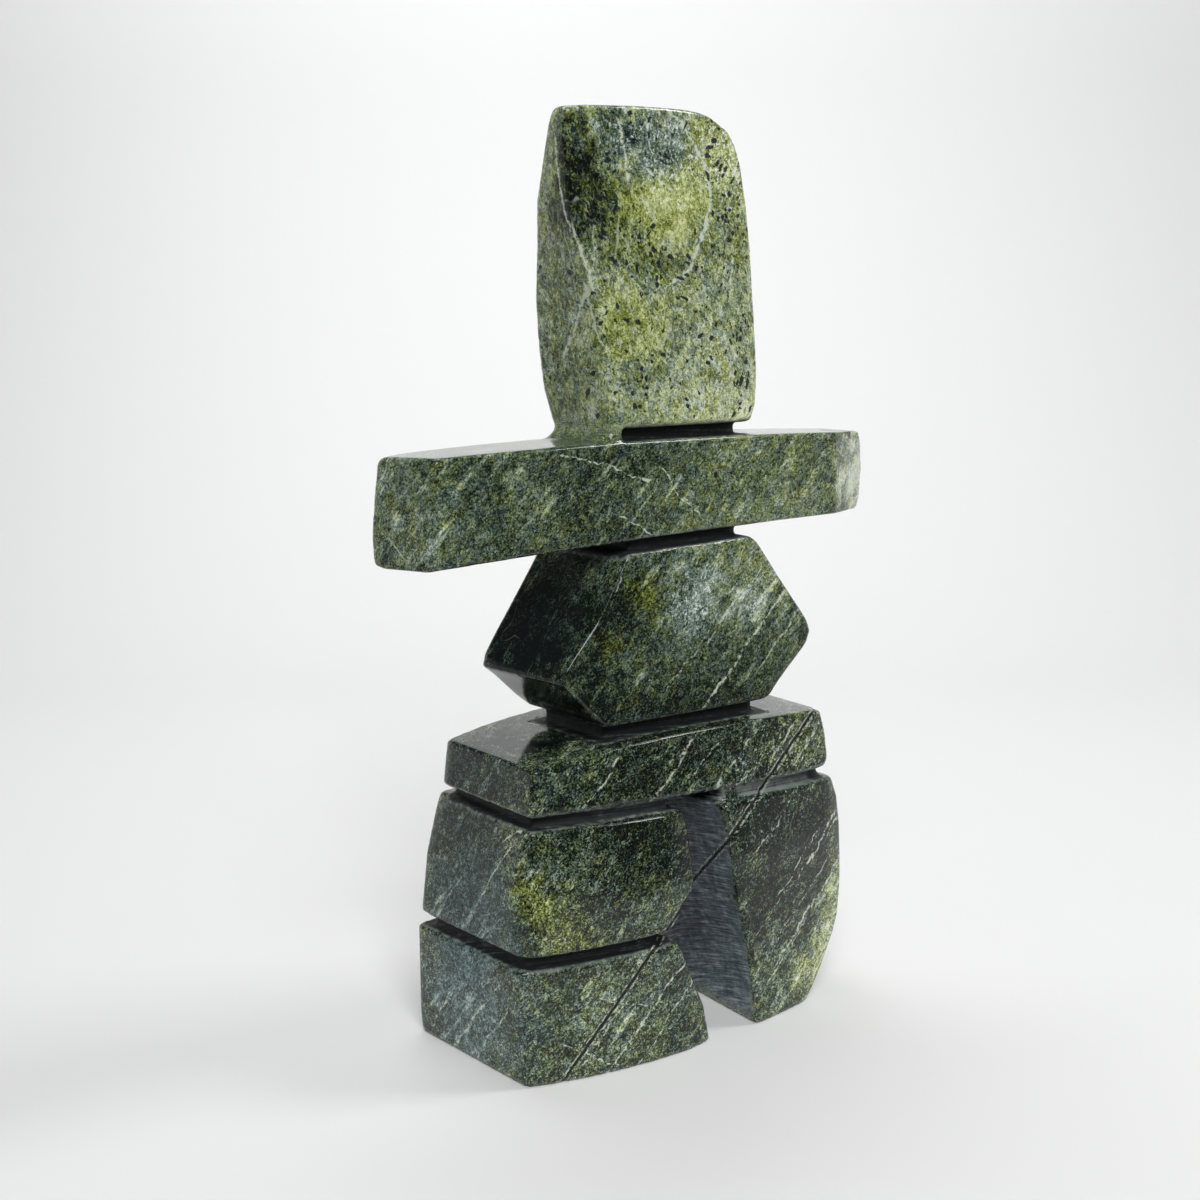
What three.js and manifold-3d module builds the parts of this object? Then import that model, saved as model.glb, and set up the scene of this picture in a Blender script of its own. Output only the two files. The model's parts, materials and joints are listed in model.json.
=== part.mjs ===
// A small inukshuk carved from one block of green serpentine.
// Seven "stones" are shaped in the block and told apart by saw cuts that stop
// short of the middle, so a neck of the same stone joins each to the next.
//
// Millimetres, +Z up, the face of the figure toward -Y, +X to the viewer's
// right. The origin is the middle of the outline on the plane of the feet.
import * as THREE from 'three';
import { mergeVertices } from 'three/addons/utils/BufferGeometryUtils.js';
import Module from 'manifold-3d';

// Heights, measured on the middle line, from the ground up.
const LEG_HEIGHT = 80.7;
const FOOT_HEIGHT = 38.5; // lower stone of the left leg
const HIPS_HEIGHT = 21.5;
const TORSO_HEIGHT = 55.8;
const ARMS_HEIGHT = 30.5;
const HEAD_HEIGHT = 97.5;

// Widths across the widest place of each stone, and the gap between the legs.
const HIPS_WIDTH = 124.6;
const LEG_GAP = 13.4;
const TORSO_WIDTH = 106.6;
const ARMS_SPAN = 181;
const HEAD_WIDTH = 74.4;

// Depths, front to back, through the middle of each stone.
const LEG_DEPTH = 70;
const HIPS_DEPTH = 60;
const TORSO_DEPTH = 43;
const ARMS_DEPTH = 33;
const HEAD_DEPTH = 30;

// How far each stone sits to the right of the hips, and its face behind theirs.
const TORSO_SHIFT = 4;
const ARMS_SHIFT = -5.4;
const HEAD_SHIFT = -3.7;
const LEG_FORWARD = 6.5;
const TORSO_SETBACK = 7;
const ARMS_SETBACK = 7.5;
const HEAD_SETBACK = 9;

// The saw cuts and the softened edges.
const SAW_CUT = 3.8;
const CUT_DEPTH = 5; // from the front and the back
const CUT_DEPTH_SIDE = 3.2;
const EDGE_RADIUS = 1.2;
const WEB_WIDTH = 4.5; // of the stone left uncut at the head's left side
const WEB_INSET = 0.1;
const WEB_SPREAD = 8; // of its root toward the left
const WEB_SPREAD_END = 0.75; // share of the web's height
const WEB_STEPS = 8;
const HIPS_TILT = -0.032; // rise per millimetre to the right
const ARMS_TILT = 0.03;

// Points along one ring of a stone.
const FACE_STEPS = 10;
const SIDE_STEPS = 2;
const CORNER_STEPS = 2;

const lerp = THREE.MathUtils.lerp;

/** Reads a line given as [place, value] pairs, straight between them. */
function along(line, place) {
  const last = line.length - 1;
  if (place <= line[0][0]) return line[0][1];
  if (place >= line[last][0]) return line[last][1];
  const next = line.findIndex(([at]) => at > place);
  const [[a, from], [b, to]] = [line[next - 1], line[next]];
  return lerp(from, to, (place - a) / (b - a));
}

/** A flat saw cut: the stone below stops under it and the next starts over it. */
function sawCut(height, middle = 0, tilt = 0) {
  const centre = height + SAW_CUT / 2;
  const at = (x, side) => centre + tilt * (x - middle) + side * SAW_CUT / 2;
  return { below: (x) => at(x, -1), above: (x) => at(x, 1) };
}

const ground = { above: () => 0 };
const ankleCut = sawCut(FOOT_HEIGHT);
const hipCut = sawCut(LEG_HEIGHT, 0, HIPS_TILT);
const hipsTop = LEG_HEIGHT + SAW_CUT + HIPS_HEIGHT;
const waistCut = sawCut(hipsTop);
const torsoTop = hipsTop + SAW_CUT + TORSO_HEIGHT;
const shoulderCut = sawCut(torsoTop, TORSO_SHIFT, ARMS_TILT);
const armsTop = torsoTop + SAW_CUT + ARMS_HEIGHT;
const neckCut = sawCut(armsTop);
const crown = { below: () => armsTop + SAW_CUT + HEAD_HEIGHT };

// Leg tops share the width of the hips with the gap between them.
const LEG_INSET = 1;
const LEG_RIDGE = -12;
const legTop = (HIPS_WIDTH - LEG_GAP) / 2 - LEG_INSET;
const legMiddle = (LEG_GAP + legTop) / 2;

// Each stone is an outline in shares: [share of its height, share of its half
// width] up its left and its right side. The other shares are of its depth:
// front is how far its face steps back on the way up, lean how much further left
// the back of the left side is, taper how much thinner the back grows, and bow
// how far the face and the back fall away toward the ends from their fullest
// line, the ridge. Dome and sag are how far the top and the underside fall
// toward the left and the right end, in shares of the height. Corners are the
// radii of the four upright edges, in edge radii, from the front left round.
const foot = {
  from: ground, to: ankleCut, middle: -legMiddle, width: legTop,
  face: -LEG_FORWARD, front: [[0, 0], [1, 0.014]], depth: LEG_DEPTH,
  left: [[0, 1.15], [0.2, 1.18], [1, 1.2]], lean: [[0, 0.107], [1, 0.093]],
  right: [[0, 1.37], [0.35, 1.27], [0.62, 1.1], [0.9, 0.95], [1, 0.84]],
  ridge: LEG_RIDGE, bow: [0.157, 0.057], corners: [1.7, 4, 3.3, 2.5],
};
const thigh = {
  from: ankleCut, to: hipCut, middle: -legMiddle, width: legTop,
  face: -LEG_FORWARD, front: [[0, 0.014], [1, 0.043]], depth: LEG_DEPTH,
  left: [[0, 1.17], [0.5, 1.18], [0.85, 1.1], [1, 1.03]],
  lean: [[0, 0.093], [0.5, 0.047], [0.85, 0.02], [1, 0.014]],
  right: [[0, 0.77], [0.1, 0.91], [0.22, 1.0], [0.3, 1.12], [0.4, 1.15], [0.6, 1.11],
    [0.85, 1.06], [1, 1]],
  ridge: LEG_RIDGE, bow: [0.145, 0.07], corners: [1.3, 3.3, 3.3, 2.5],
};
const rightLeg = {
  from: ground, to: hipCut, middle: legMiddle, width: legTop,
  face: -LEG_FORWARD, front: [[0, 0], [1, 0.016]], depth: LEG_DEPTH,
  left: [[0, 0.42], [0.3, 0.52], [0.55, 0.7], [0.8, 0.84], [1, 1]], lean: [[0, 0], [1, 0]],
  right: [[0, 0.6], [0.07, 0.8], [0.14, 0.96], [0.26, 1.2], [0.33, 1.3], [0.48, 1.36],
    [0.6, 1.36], [0.77, 1.33], [0.9, 1.26], [1, 1.12]],
  ridge: LEG_RIDGE, bow: [0.1, 0.072], corners: [1.5, 2.5, 4, 4],
};
const hips = {
  from: hipCut, to: waistCut, middle: 0, width: HIPS_WIDTH,
  face: 0, front: [[0, 0], [1, 0]], depth: HIPS_DEPTH,
  left: [[0, 0.99], [1, 0.97]], lean: [[0, 0.067], [1, 0.05]],
  right: [[0, 0.97], [0.15, 1.0], [0.6, 0.975], [1, 0.93]],
  ridge: 0, bow: [0.058, 0.083], dome: [0.21, 0.116], corners: [1.2, 4, 4, 3],
};
const torso = {
  from: waistCut, to: shoulderCut, middle: TORSO_SHIFT, width: TORSO_WIDTH,
  face: TORSO_SETBACK, front: [[0, 0], [1, 0]], depth: TORSO_DEPTH,
  left: [[0, 0.66], [0.1, 0.765], [0.23, 0.88], [0.3, 0.955], [0.38, 0.92], [0.63, 0.7],
    [1, 0.48]],
  lean: [[0, 0.07], [0.3, 0.14], [0.6, 0.21], [1, 0.15]],
  right: [[0, 0.62], [0.13, 0.75], [0.265, 0.92], [0.31, 0.965], [0.37, 0.985],
    [0.44, 0.955], [0.52, 0.89], [0.74, 0.7], [0.95, 0.53], [1, 0.47]],
  ridge: TORSO_SHIFT, bow: [0.035, 0.058], corners: [0.8, 2.5, 3.3, 1.7],
};
const arms = {
  from: shoulderCut, to: neckCut, middle: ARMS_SHIFT, width: ARMS_SPAN,
  face: ARMS_SETBACK, front: [[0, 0], [1, 0]], depth: ARMS_DEPTH,
  left: [[0, 0.955], [0.25, 0.95], [0.6, 0.93], [1, 0.915]], lean: [[0, 0.24], [1, 0.27]],
  right: [[0, 0.98], [0.12, 1.005], [0.5, 1.02], [0.85, 1.01], [1, 0.985]],
  ridge: ARMS_SHIFT, bow: [0.03, 0.103], dome: [0.066, 0.066], sag: [0.056, 0.043],
  corners: [1, 3.3, 3.3, 2.5],
};
const head = {
  from: neckCut, to: crown, middle: HEAD_SHIFT, width: HEAD_WIDTH,
  face: HEAD_SETBACK, front: [[0, 0], [1, 0.1]], depth: HEAD_DEPTH,
  taper: [[0, 0], [0.5, 0.067], [0.75, 0.267], [1, 0.567]],
  left: [[0, 0.62], [0.12, 0.63], [0.28, 0.665], [0.42, 0.76], [0.57, 0.89], [0.72, 0.96],
    [0.97, 1.0], [1, 0.98]],
  lean: [[0, 0.117], [0.12, 0.247], [0.28, 0.287], [0.42, 0.2], [0.57, 0.05], [1, 0]],
  right: [[0, 0.93], [0.06, 0.99], [0.17, 1.01], [0.26, 1.0], [0.42, 0.975], [0.57, 0.95],
    [0.74, 0.905], [0.85, 0.845], [0.91, 0.785], [0.95, 0.71], [0.98, 0.6], [1, 0.36]],
  ridge: HEAD_SHIFT, bow: [0.067, 0.067], dome: [0.015, 0.02], corners: [2.5, 3.3, 3.3, 2.5],
};

/** Goes along a side in equal steps, leaving out its two ends. */
function* between(a, b, steps) {
  for (let i = 1; i < steps; i += 1) yield lerp(a, b, i / steps);
}

/** One level of a stone, seen from above, drawn in by an inset. */
function section(stone, share, inset) {
  const { middle, width, face, depth, ridge, taper, bow } = stone;
  const side = { left: middle - width / 2 * along(stone.left, share) + inset.left,
    right: middle + width / 2 * along(stone.right, share) - inset.right };
  const off = (x) => ((x - ridge) / (HIPS_WIDTH / 2)) ** 2;
  const thinner = taper ? along(taper, share) : 0;
  const faceY = (x) => face + depth * (along(stone.front, share) + bow[0] * off(x)) + inset.front;
  const backY = (x) => face + depth * (1 - thinner - bow[1] * off(x)) - inset.back;
  const backLeft = side.left - depth * along(stone.lean, share);
  const corner = {
    frontLeft: [side.left, faceY(side.left)], frontRight: [side.right, faceY(side.right)],
    backRight: [side.right, backY(side.right)], backLeft: [backLeft, backY(backLeft)],
  };
  const [rFL, rFR, rBR, rBL] = stone.corners.map((radii) => radii * EDGE_RADIUS);
  const ring = [];
  const edge = (from, to, cutFrom, cutTo, steps, y) => {
    const length = Math.hypot(to[0] - from[0], to[1] - from[1]);
    for (const t of between(cutFrom / length, 1 - cutTo / length, steps)) {
      const x = lerp(from[0], to[0], t);
      ring.push([x, y ? y(x) : lerp(from[1], to[1], t)]);
    }
  };
  const bend = (before, at, after, radius) => {
    const reach = (other) => {
      const length = Math.hypot(other[0] - at[0], other[1] - at[1]);
      return [lerp(at[0], other[0], radius / length), lerp(at[1], other[1], radius / length)];
    };
    const [a, b] = [reach(before), reach(after)];
    for (let i = 0; i <= CORNER_STEPS; i += 1) {
      const t = i / CORNER_STEPS;
      ring.push([0, 1].map((k) => (1 - t) ** 2 * a[k] + 2 * t * (1 - t) * at[k] + t * t * b[k]));
    }
  };
  bend(corner.backLeft, corner.frontLeft, corner.frontRight, rFL);
  edge(corner.frontLeft, corner.frontRight, rFL, rFR, FACE_STEPS, faceY);
  bend(corner.frontLeft, corner.frontRight, corner.backRight, rFR);
  edge(corner.frontRight, corner.backRight, rFR, rBR, SIDE_STEPS);
  bend(corner.frontRight, corner.backRight, corner.backLeft, rBR);
  edge(corner.backRight, corner.backLeft, rBR, rBL, FACE_STEPS, backY);
  bend(corner.backRight, corner.backLeft, corner.frontLeft, rBL);
  edge(corner.backLeft, corner.frontLeft, rBL, rFL, SIDE_STEPS);
  return ring;
}

/** Closes a stack of equal rings, bottom to top, into one body. */
function loft(rings) {
  const size = rings[0].length;
  const places = rings.flat(2);
  const faces = [];
  for (let level = 1; level < rings.length; level += 1) {
    for (let i = 0; i < size; i += 1) {
      const [a, b] = [(level - 1) * size + i, (level - 1) * size + (i + 1) % size];
      faces.push(a, b, b + size, a, b + size, a + size);
    }
  }
  // A lid is laced from the left end to the right, front edge to back edge.
  const lid = (level, turn) => {
    const at = (i) => level * size + (i + size) % size;
    for (let k = 0; k < size / 2; k += 1) {
      const [a, b, c, d] = [at(k - 1), at(k), at(size - 2 - k), at(size - 1 - k)];
      if (b !== c) faces.push(...turn([a, b, c]));
      if (a !== d) faces.push(...turn([a, c, d]));
    }
  };
  lid(0, ([a, b, c]) => [a, c, b]);
  lid(rings.length - 1, (face) => face);
  const geometry = new THREE.BufferGeometry();
  geometry.setAttribute('position', new THREE.Float32BufferAttribute(places, 3));
  geometry.setIndex(faces);
  return geometry;
}

/** The levels of a stone: every corner of its outline, and its rounded rims. */
function levels(stone, height) {
  const rim = EDGE_RADIUS / height;
  const rounding = [[0, 1], [0.29, 0.29], [1, 0]]
    .map(([up, inset]) => ({ up: up * rim, inset: inset * EDGE_RADIUS }));
  const inner = [...stone.left, ...stone.right].map(([at]) => at)
    .filter((at) => at > rim * 1.5 && at < 1 - rim * 1.5).sort((a, b) => a - b)
    .filter((at, i, all) => i === 0 || at - all[i - 1] > 0.03);
  return [
    ...rounding.map(({ up, inset }) => [up, inset]),
    ...inner.map((at) => [at, 0]),
    ...rounding.reverse().map(({ up, inset }) => [1 - up, inset]),
  ];
}

/** A whole stone, between the cut under it and the cut over it. */
function carve(stone) {
  const height = stone.to.below(stone.middle) - stone.from.above(stone.middle);
  const rings = levels(stone, height).map(([share, inset]) => {
    const around = { left: inset, right: inset, front: inset, back: inset };
    return section(stone, share, around).map(([x, y]) => {
      const off = (x - stone.middle) / (stone.width / 2);
      const fall = (ends) => (ends ? height * ends[off < 0 ? 0 : 1] * off * off : 0);
      const top = stone.to.below(x) - fall(stone.dome);
      return [x, y, lerp(stone.from.above(x) - fall(stone.sag), top, share)];
    });
  });
  return loft(rings);
}

/** How far the sides of a plain neck are drawn in from the stone. */
const drawnIn = () => ({
  left: CUT_DEPTH_SIDE, right: CUT_DEPTH_SIDE, front: CUT_DEPTH, back: CUT_DEPTH,
});

/** The neck left in a saw cut, rooted in the stones under and over it. */
function neck(stone, end, cut, inset = drawnIn, steps = 1) {
  const root = EDGE_RADIUS * 1.6;
  const rings = [];
  for (let i = 0; i <= steps; i += 1) {
    const share = i / steps;
    const height = (x) => lerp(cut.below(x) - root, cut.above(x) + root, share);
    rings.push(section(stone, end, inset(share)).map(([x, y]) => [x, y, height(x)]));
  }
  return loft(rings);
}

/** The head's cut stops short of its left side, which flows down onto the arms. */
function web(share) {
  const spread = WEB_SPREAD * Math.max(0, 1 - share / WEB_SPREAD_END) ** 2;
  const base = HEAD_WIDTH / 2 * (along(head.left, 0) + along(head.right, 0));
  return { left: WEB_INSET - spread, right: base - WEB_WIDTH, front: WEB_INSET, back: WEB_INSET };
}

const wasm = await Module();
wasm.setup();

/** Turns a closed geometry into a solid that can be joined and cut. */
function solid(geometry) {
  const bare = geometry.clone();
  bare.deleteAttribute('normal');
  bare.deleteAttribute('uv');
  const merged = mergeVertices(bare, 1e-4);
  return new wasm.Manifold(new wasm.Mesh({
    numProp: 3,
    vertProperties: new Float32Array(merged.attributes.position.array),
    triVerts: new Uint32Array(merged.index.array),
  }));
}

/** A block whose lower face lies on a plane, to grind a flat onto a stone. */
function offcut(point, normal) {
  const size = 4 * LEG_DEPTH;
  const block = new THREE.BoxGeometry(size, size, size);
  const turn = new THREE.Quaternion().setFromUnitVectors(
    new THREE.Vector3(0, 0, 1), new THREE.Vector3(...normal).normalize());
  block.translate(0, 0, size / 2).applyQuaternion(turn).translate(...point);
  return solid(block);
}

/** The geometry of a solid, for a mesh. */
function asGeometry(body) {
  const { vertProperties, triVerts } = body.getMesh();
  const geometry = new THREE.BufferGeometry();
  geometry.setAttribute('position', new THREE.Float32BufferAttribute(vertProperties, 3));
  geometry.setIndex(new THREE.Uint32BufferAttribute(triVerts, 1));
  return geometry;
}

const stones = [foot, thigh, rightLeg, hips, torso, arms, head].map((s) => solid(carve(s)));

// Flats ground on: the end of the right arm, and the outer front corner of the
// upper stone of the left leg.
const armEnd = ARMS_SHIFT + ARMS_SPAN / 2;
const armFlat = offcut([armEnd, ARMS_SETBACK + ARMS_DEPTH * 0.29, armsTop], [0.4, -0.92, 0]);
stones[5] = stones[5].subtract(armFlat);

const thighEdge = [-legMiddle - legTop * 0.508, LEG_DEPTH * 0.12 - LEG_FORWARD, LEG_HEIGHT * 0.77];
const thighFlat = offcut(thighEdge, [-0.775, -0.62, 0.05]);
stones[1] = stones[1].subtract(thighFlat);

const necks = [
  neck(thigh, 0, ankleCut), neck(thigh, 1, hipCut), neck(rightLeg, 1, hipCut),
  neck(torso, 0, waistCut), neck(torso, 1, shoulderCut), neck(head, 0, neckCut),
  neck({ ...head, corners: [2.5, 0.5, 0.5, 2.5] }, 0, neckCut, web, WEB_STEPS),
].map(solid);
const body = [...stones, ...necks].reduce((whole, piece) => whole.add(piece));

const geometry = asGeometry(body);
geometry.computeBoundingBox();
const centre = geometry.boundingBox.getCenter(new THREE.Vector3());
geometry.translate(-centre.x, -centre.y, 0);

const serpentine = new THREE.MeshStandardMaterial({
  color: 0x33402c, roughness: 0.25, metalness: 0, flatShading: true,
});
const figure = new THREE.Mesh(geometry, serpentine);
figure.name = 'carved_inukshuk';

const inukshuk = new THREE.Group();
inukshuk.add(figure);

export default inukshuk;
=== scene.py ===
"""A small inukshuk carved from one block of polished green serpentine, on a pale sweep.

The figure's skin is worked out from the frame's own solid: its facets are rubbed smooth, its cuts
keep their lips, the old fracture is opened along its plane, and the hand polish, the chipped lips
and the marks of sawn stone are laid on by geometry nodes. Lengths are in metres, except that the
stone's own markings are laid out in millimetres, in names that end in _mm.
"""

from __future__ import annotations

import json
import logging
import math
from dataclasses import dataclass, field
from enum import Enum

import bmesh
import bpy
import numpy as np
from mathutils import Matrix, Vector, noise

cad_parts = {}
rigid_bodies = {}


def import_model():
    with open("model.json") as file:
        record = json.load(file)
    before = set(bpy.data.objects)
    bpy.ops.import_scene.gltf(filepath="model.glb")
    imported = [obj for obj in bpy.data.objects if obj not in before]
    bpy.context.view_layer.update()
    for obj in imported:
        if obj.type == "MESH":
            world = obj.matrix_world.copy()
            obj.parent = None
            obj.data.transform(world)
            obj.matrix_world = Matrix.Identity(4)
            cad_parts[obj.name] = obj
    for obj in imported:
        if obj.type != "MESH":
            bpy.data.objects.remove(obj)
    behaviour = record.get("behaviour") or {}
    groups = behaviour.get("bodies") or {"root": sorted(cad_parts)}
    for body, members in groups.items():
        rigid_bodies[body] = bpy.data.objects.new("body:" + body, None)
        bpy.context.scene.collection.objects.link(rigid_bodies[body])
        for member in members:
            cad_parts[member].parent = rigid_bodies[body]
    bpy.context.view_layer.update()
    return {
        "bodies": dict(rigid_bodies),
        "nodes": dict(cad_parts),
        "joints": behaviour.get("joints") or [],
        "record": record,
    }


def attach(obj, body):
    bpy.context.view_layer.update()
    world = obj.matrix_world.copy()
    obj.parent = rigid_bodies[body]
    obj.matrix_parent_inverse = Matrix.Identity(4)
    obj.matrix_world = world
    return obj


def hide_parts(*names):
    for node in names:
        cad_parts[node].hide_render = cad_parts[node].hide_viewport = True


log = logging.getLogger("inukshuk")

MM = 0.001
Colour = tuple[float, float, float]
Place = tuple[float, float, float]
Pair = tuple[float, float]
Levels = tuple[float, ...]
Stops = tuple[tuple[float, Colour], ...]
Socket = bpy.types.NodeSocket
Value = float | Socket


class Mark(Enum):
    """The attributes that the skin carries for its material."""

    SAWN = "sawn"
    GROUND = "ground"
    LIP = "chipped_lip"
    CRACK = "crack"
    LIGHTER = "lighter"
    YELLOWER = "yellower"
    WHITER = "whiter"
    BLACKER = "blacker"
    DULLER = "duller"
    COOLER = "cooler"


CLOUDS = (Mark.LIGHTER, Mark.YELLOWER, Mark.WHITER, Mark.BLACKER, Mark.DULLER, Mark.COOLER)


def placed(name: str, data: bpy.types.ID) -> bpy.types.Object:
    """Puts a new object into the scene.

    Args:
        name: what it is called.
        data: its mesh, light or camera.

    Returns:
        The object.
    """
    item = bpy.data.objects.new(name, data)
    bpy.context.scene.collection.objects.link(item)
    return item


def worked_mesh(piece: bpy.types.Object) -> bpy.types.Mesh:
    """The mesh that a piece's modifiers make of it."""
    deps = bpy.context.evaluated_depsgraph_get()
    return bpy.data.meshes.new_from_object(piece.evaluated_get(deps), depsgraph=deps)


def rows(source: bpy.types.bpy_prop_collection, name: str, width: int = 3,
         kind: type = np.float32) -> np.ndarray:
    """Reads one property of every item.

    Args:
        source: the items.
        name: the property.
        width: how many numbers it has.
        kind: the type of the numbers.

    Returns:
        A row for each item.
    """
    values = np.empty(len(source) * width, kind)
    source.foreach_get(name, values)
    return values.reshape(-1, width)


@dataclass(frozen=True)
class Layer:
    """A cloud of grains: their size, how many finer layers it has and how strong they are.

    Levels are where it begins to show and where it shows in full, then what it gives at each.
    """

    size_mm: float
    detail: float
    rough: float
    levels: Levels = (0.0, 1.0)


class NodeSheet:
    """Writes a node tree in short calls: each adds a node and gives back its output."""

    def __init__(self, tree: bpy.types.NodeTree) -> None:
        """Keeps the tree that the nodes go into."""
        self.tree = tree

    def add(self, kind: str, inputs: dict | None = None, output: int | str = 0,
            **settings: object) -> Socket:
        """Adds one node.

        Args:
            kind: the node's type.
            inputs: values or sockets, by input name or number.
            output: the name or number of the output to give back.
            settings: the node's own properties.

        Returns:
            The chosen output.
        """
        node = self.tree.nodes.new(kind)
        for name, value in settings.items():
            setattr(node, name, value)
        for name, value in (inputs or {}).items():
            if isinstance(value, Socket):
                self.tree.links.new(value, node.inputs[name])
            else:
                node.inputs[name].default_value = value
        return node.outputs[output]

    def maths(self, operation: str, *values: Value) -> Socket:
        """One sum on numbers."""
        return self.add("ShaderNodeMath", dict(enumerate(values)), operation=operation)

    def chain(self, operation: str, *values: Value) -> Socket:
        """One sum on any count of numbers, from the first to the last.

        Args:
            operation: the sum.
            values: the numbers.

        Returns:
            The result.
        """
        total = values[0]
        for value in values[1:]:
            total = self.maths(operation, total, value)
        return total

    def product(self, *values: Value) -> Socket:
        """All the values multiplied."""
        return self.chain("MULTIPLY", *values)

    def largest(self, *values: Value) -> Socket:
        """The largest of the values."""
        return self.chain("MAXIMUM", *values)

    def plus(self, total: Value, part: Value, weight: Value) -> Socket:
        """A total with a weighted part added to it."""
        return self.maths("MULTIPLY_ADD", part, weight, total)

    def vector(self, operation: str, *values: object) -> Socket:
        """One sum on vectors that gives a vector."""
        return self.add("ShaderNodeVectorMath", dict(enumerate(values)), operation=operation)

    def dot(self, a: object, b: object) -> Socket:
        """The product of two vectors, a number."""
        return self.add("ShaderNodeVectorMath", {0: a, 1: b}, "Value", operation="DOT_PRODUCT")

    def distance(self, a: object, b: object) -> Socket:
        """How far two points are apart."""
        return self.add("ShaderNodeVectorMath", {0: a, 1: b}, "Value", operation="DISTANCE")

    def scaled(self, a: object, by: Value) -> Socket:
        """A vector times a number."""
        return self.add("ShaderNodeVectorMath", {0: a, "Scale": by}, operation="SCALE")

    def part(self, vector: object, axis: str) -> Socket:
        """One part of a vector."""
        return self.add("ShaderNodeSeparateXYZ", {0: vector}, axis)

    def band(self, value: Value, start: float, end: float, low: Value = 0.0,
             high: Value = 1.0) -> Socket:
        """Goes softly from low to high as the value goes from start to end."""
        places = {"Value": value, "From Min": start, "From Max": end, "To Min": low, "To Max": high}
        return self.add("ShaderNodeMapRange", places, interpolation_type="SMOOTHSTEP")

    def noise(self, point: object, size: Value, detail: float, rough: float = 0.55,
              output: str = "Fac") -> Socket:
        """A cloud whose grains have the given size, from 0 to 1 about a half.

        Args:
            point: where it is read.
            size: how large its grains are.
            detail: how many finer layers it has.
            rough: how strong the finer layers are.
            output: Fac for a number or Color for three.

        Returns:
            The cloud.
        """
        scale = self.maths("DIVIDE", 1.0, size) if isinstance(size, Socket) else 1.0 / size
        places = {"Vector": point, "Scale": scale, "Detail": detail, "Roughness": rough}
        return self.add("ShaderNodeTexNoise", places, output)

    def cloud(self, point: object, layer: Layer) -> Socket:
        """A layer's cloud, before it is cut at its levels."""
        return self.noise(point, layer.size_mm, layer.detail, layer.rough)

    def layer(self, point: object, layer: Layer) -> Socket:
        """A layer's cloud, cut at its levels."""
        return self.band(self.cloud(point, layer), *layer.levels)

    def grains(self, point: object, size: float) -> Socket:
        """Angular grains of the given size, each with its own random colour."""
        return self.add("ShaderNodeTexVoronoi", {"Vector": point, "Scale": 1.0 / size}, "Color")

    def drift(self, point: object, size: float, detail: float, reach: Value) -> Socket:
        """A soft random vector about zero."""
        cloud = self.noise(point, size, detail, output="Color")
        return self.scaled(self.vector("SUBTRACT", cloud, (0.5, 0.5, 0.5)), reach)

    def strayed(self, point: object, size: float, detail: float, reach: Value) -> Socket:
        """The point, moved by a soft random vector."""
        return self.vector("ADD", point, self.drift(point, size, detail, reach))

    def mix(self, share: Value, a: object, b: object) -> Socket:
        """A colour between two."""
        a, b = ((*c, 1.0) if isinstance(c, tuple) else c for c in (a, b))
        return self.add("ShaderNodeMix", {0: share, 6: a, 7: b}, 2, data_type="RGBA")

    def strip(self, value: Value, stops: Stops) -> Socket:
        """A colour read off a strip of stops.

        Args:
            value: where it is read.
            stops: the places and colours.

        Returns:
            The colour.
        """
        node = self.tree.nodes.new("ShaderNodeValToRGB")
        elements = node.color_ramp.elements
        while len(elements) < len(stops):
            elements.new(1.0)
        for element, (at, colour) in zip(elements, stops):
            element.position = at
            element.color = (*colour, 1.0)
        self.tree.links.new(value, node.inputs["Fac"])
        return node.outputs["Color"]

    def mark(self, mark: Mark) -> Socket:
        """What the skin carries under a mark."""
        return self.add("ShaderNodeAttribute", output="Fac", attribute_name=mark.value)


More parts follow.
